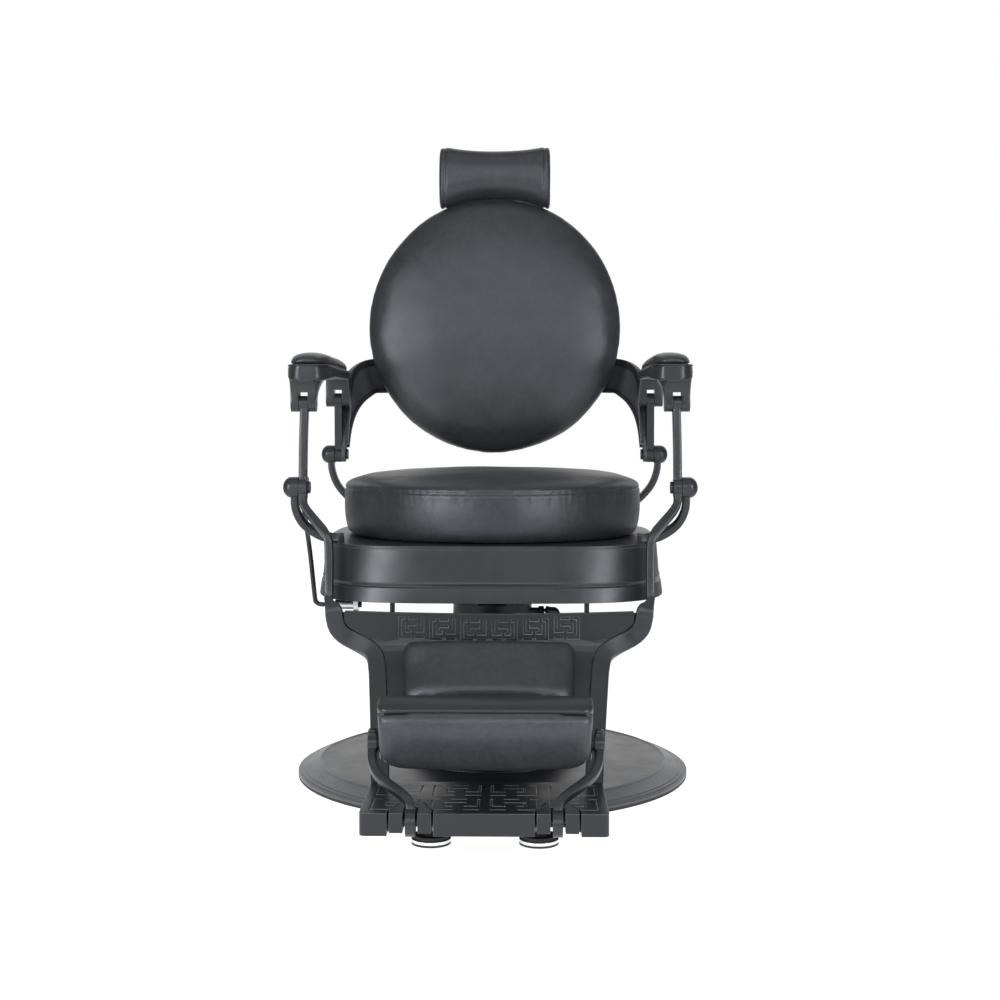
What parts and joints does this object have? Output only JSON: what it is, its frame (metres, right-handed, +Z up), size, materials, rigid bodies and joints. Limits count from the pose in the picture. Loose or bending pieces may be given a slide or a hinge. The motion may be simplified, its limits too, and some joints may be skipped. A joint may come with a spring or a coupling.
{
  "type": "barber chair",
  "caption": "Hydraulic barber chair with round seat and back, headrest roll, linked armrests and leg rest, flip footrest and a round stepped base.",
  "frame": {"origin": "on the floor, at the middle of the round base and the lift column's axis", "axes": "+Z up, the chair faces -Y, the sitter's left is +X"},
  "size_m": [0.6679, 0.966, 1.1259],
  "materials": {
    "cast_coat": "satin charcoal powder coat on castings",
    "base_plate_steel": "smooth charcoal coat, slightly glossy",
    "base_rim_coat": "brushed-looking charcoal coat",
    "gasket_rubber": "matte grey rubber",
    "bell_black": "glossy black",
    "raw_steel": "plain dark steel",
    "pin_steel": "dull steel",
    "black_rubber": "black rubber",
    "bright_chrome": "polished",
    "rod_black": "black rod",
    "knob_black": "black plastic knob",
    "shell_plastic": "black textured plastic",
    "black_leather": "black upholstery leather, fine grain"
  },
  "bodies": {
    "base": {"base_plate": "base_plate_steel", "base_rim": "base_rim_coat", "base_gasket": "gasket_rubber", "column_bell": "bell_black", "pump_cylinder": "raw_steel", "pump_head": "bell_black", "base_bolts": "pin_steel"},
    "pedal": {"pump_lever": "bell_black", "pedal_pad": "black_rubber"},
    "piston": {"ram": "bright_chrome"},
    "seat": {"swivel_hub": "raw_steel", "seat_frame": "cast_coat", "seat_plate": "cast_coat", "seat_cushion": "black_leather", "front_bracket_left": "cast_coat", "front_bracket_right": "cast_coat", "rear_bracket_left": "cast_coat", "rear_bracket_right": "cast_coat", "front_pins": "pin_steel", "rear_pins": "pin_steel", "stop_rods": "pin_steel", "stop_bumpers": "black_rubber", "lever_bearing": "raw_steel"},
    "recline_handle": {"recline_lever": "rod_black", "recline_knob": "knob_black"},
    "back": {"backrest_cushion": "black_leather", "backrest_shell": "shell_plastic", "back_bracket_left": "cast_coat", "back_bracket_right": "cast_coat", "rear_link_left": "cast_coat", "rear_link_right": "cast_coat", "back_bolts": "pin_steel", "headrest_socket": "raw_steel", "headrest_clamp": "knob_black"},
    "head_post": {"headrest_post": "bright_chrome"},
    "head": {"headrest_pad": "black_leather", "headrest_yoke": "raw_steel", "headrest_pin": "pin_steel"},
    "armrest_left": {"arm_left": "cast_coat", "arm_pad_left": "black_leather", "arm_pins_left": "pin_steel"},
    "armrest_right": {"arm_right": "cast_coat", "arm_pad_right": "black_leather", "arm_pins_right": "pin_steel"},
    "leg_rest": {"front_lever_left": "cast_coat", "front_lever_right": "cast_coat", "legrest_panel": "cast_coat", "calf_pad": "black_leather", "panel_bolts": "pin_steel", "foot_platform": "cast_coat", "platform_feet": "black_rubber", "foot_rings": "bright_chrome", "footrest_pins": "pin_steel"},
    "footrest_arms": {"footrest_arm_left": "cast_coat", "footrest_arm_right": "cast_coat"},
    "footrest_pad": {"footrest_shell": "cast_coat", "footrest_cushion": "black_leather", "footrest_trunnions": "cast_coat"}
  },
  "joints": [
    {"name": "pedal_press", "type": "hinge", "parent": "base", "child": "pedal", "pos_m": [0, 0, 0.276], "axis": [-1, 0, 0], "range_deg": [0, 10], "stiffness_Nm_per_rad": 20, "springref_deg": -28.65},
    {"name": "column_lift", "type": "slide", "parent": "base", "child": "piston", "axis": [0, 0, 1], "range_m": [0, 0.15]},
    {"name": "seat_swivel", "type": "hinge", "parent": "piston", "child": "seat", "pos_m": [0, 0, 0.35], "axis": [0, 0, 1], "continuous": true},
    {"name": "recline_release", "type": "hinge", "parent": "seat", "child": "recline_handle", "pos_m": [0, -0.06, 0.293], "axis": [-1, 0, 0], "range_deg": [0, 15], "stiffness_Nm_per_rad": 2, "springref_deg": -22.92},
    {"name": "back_recline", "type": "hinge", "parent": "seat", "child": "back", "pos_m": [0, 0.17, 0.542], "axis": [-1, 0, 0], "range_deg": [0, 35]},
    {"name": "leg_rest_raise", "type": "hinge", "parent": "seat", "child": "leg_rest", "pos_m": [0, -0.225, 0.5], "axis": [-1, 0, 0], "range_deg": [0, 27]},
    {"name": "armrest_left_level", "type": "hinge", "parent": "back", "child": "armrest_left", "pos_m": [0.288, 0.165, 0.643], "axis": [1, 0, 0], "range_deg": [0, 36]},
    {"name": "armrest_right_level", "type": "hinge", "parent": "back", "child": "armrest_right", "pos_m": [-0.288, 0.165, 0.643], "axis": [1, 0, 0], "range_deg": [0, 36]},
    {"name": "headrest_height", "type": "slide", "parent": "back", "child": "head_post", "axis": [0, 0, 1], "range_m": [0, 0.1]},
    {"name": "headrest_tilt", "type": "hinge", "parent": "head_post", "child": "head", "pos_m": [0, 0.304, 1.07109], "axis": [-1, 0, 0], "range_deg": [0, 35]},
    {"name": "footrest_swing", "type": "hinge", "parent": "leg_rest", "child": "footrest_arms", "pos_m": [0, -0.608, 0.072], "axis": [1, 0, 0], "range_deg": [0, 110]},
    {"name": "footrest_flip", "type": "hinge", "parent": "footrest_arms", "child": "footrest_pad", "pos_m": [0, -0.515, 0.1575], "axis": [-1, 0, 0], "range_deg": [0, 180]}
  ],
  "couplings": [
    {"joint": "leg_rest_raise", "follows": "back_recline", "ratio": 0.765},
    {"joint": "armrest_left_level", "follows": "back_recline", "ratio": 1.015},
    {"joint": "armrest_right_level", "follows": "back_recline", "ratio": 1.015}
  ]
}
